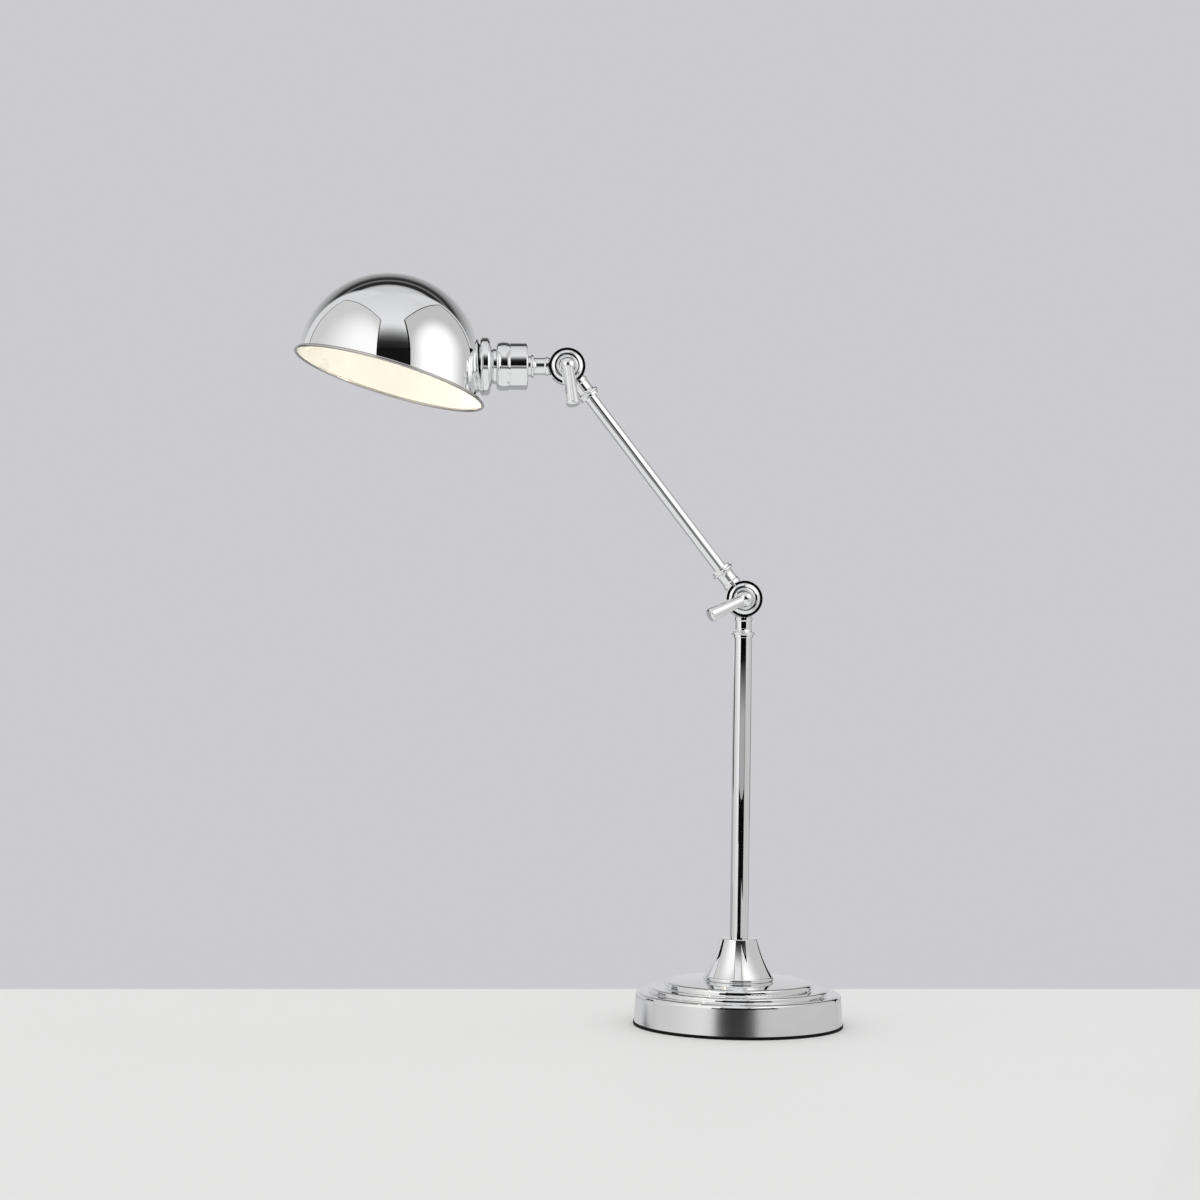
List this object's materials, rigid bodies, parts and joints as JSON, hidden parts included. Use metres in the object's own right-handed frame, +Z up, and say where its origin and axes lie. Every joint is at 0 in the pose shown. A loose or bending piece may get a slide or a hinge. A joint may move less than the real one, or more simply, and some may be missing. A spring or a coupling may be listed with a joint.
{
  "type": "swing arm desk lamp",
  "caption": "Chrome desk lamp with a stepped round weighted base, a post, a lever-clamped swing arm and a slant-cut dome shade that tilts and turns.",
  "frame": {"origin": "centre of the underside of the base pad, on the table", "axes": "+Z up along the post; the arm leans and the head points towards -X; both tilt joints turn about Y and their clamp levers are on the -Y side"},
  "size_m": [0.4825, 0.183, 0.6453],
  "materials": {
    "chrome": "polished chrome plate",
    "shade_metal": "polished chrome plate outside, cream enamel inside",
    "steel": "zinc plated",
    "cast_iron": "rough cast",
    "rubber": "matte",
    "black_plastic": "moulded",
    "white_plastic": "moulded",
    "lead_jacket": "smooth",
    "fibre": "pressed fibre",
    "brass": "plain",
    "aluminium": "rolled",
    "glass": "frosted"
  },
  "bodies": {
    "base": {"base_pad": "rubber", "base_plate": "steel", "base_weight": "cast_iron", "base_shell": "chrome", "boss_cone": "chrome", "tie_rod": "steel", "tie_washer": "steel", "tie_nut": "steel", "plate_screw_1": "steel", "plate_screw_2": "steel", "plate_screw_3": "steel", "cord_bushing": "black_plastic", "bushing_nut": "steel", "terminal_block": "white_plastic", "terminal_screw_1": "steel", "terminal_screw_2": "steel", "post_tube": "chrome", "post_insert": "steel", "post_lead": "lead_jacket", "post_knuckle": "chrome", "post_collar": "chrome", "elbow_friction_ring": "fibre", "elbow_thrust_washer": "fibre", "elbow_spring_washer": "steel", "elbow_bolt": "chrome"},
    "elbow_lever": {"elbow_lever": "chrome"},
    "arm": {"arm_tube": "chrome", "arm_lead": "lead_jacket", "arm_lower_knuckle": "chrome", "arm_lower_collar": "chrome", "arm_upper_knuckle": "chrome", "arm_upper_collar": "chrome"},
    "head": {"head_friction_ring": "fibre", "head_thrust_washer": "fibre", "head_spring_washer": "steel", "head_bolt": "chrome", "head_knuckle": "chrome", "head_collar": "chrome", "swivel_nipple": "steel", "swivel_washer": "steel", "swivel_nut": "steel", "head_lead": "lead_jacket"},
    "head_lever": {"head_lever": "chrome"},
    "shade": {"socket_cup": "chrome", "holder_ring": "chrome", "lampholder": "black_plastic", "screw_shell": "brass", "centre_contact": "brass", "bulb_cap": "aluminium", "bulb_glass": "glass", "shade_collar": "chrome", "shade": "shade_metal", "shade_nut": "steel"}
  },
  "joints": [
    {"name": "elbow_hinge", "type": "hinge", "parent": "base", "child": "arm", "pos_m": [0, 0, 0.369], "axis": [0, 1, 0], "range_deg": [-50, 75]},
    {"name": "head_tilt", "type": "hinge", "parent": "arm", "child": "head", "pos_m": [-0.15646, 0, 0.56782], "axis": [0, 1, 0], "range_deg": [-64, 60]},
    {"name": "shade_swivel", "type": "hinge", "parent": "head", "child": "shade", "pos_m": [-0.15646, 0, 0.56782], "axis": [-0.9998, 0, -0.0192], "range_deg": [-120, 120]},
    {"name": "elbow_lever_turn", "type": "hinge", "parent": "base", "child": "elbow_lever", "pos_m": [0, 0, 0.369], "axis": [0, 1, 0], "range_deg": [-40, 40]},
    {"name": "head_lever_turn", "type": "hinge", "parent": "head", "child": "head_lever", "pos_m": [-0.15646, 0, 0.56782], "axis": [0, 1, 0], "range_deg": [-40, 40]}
  ]
}
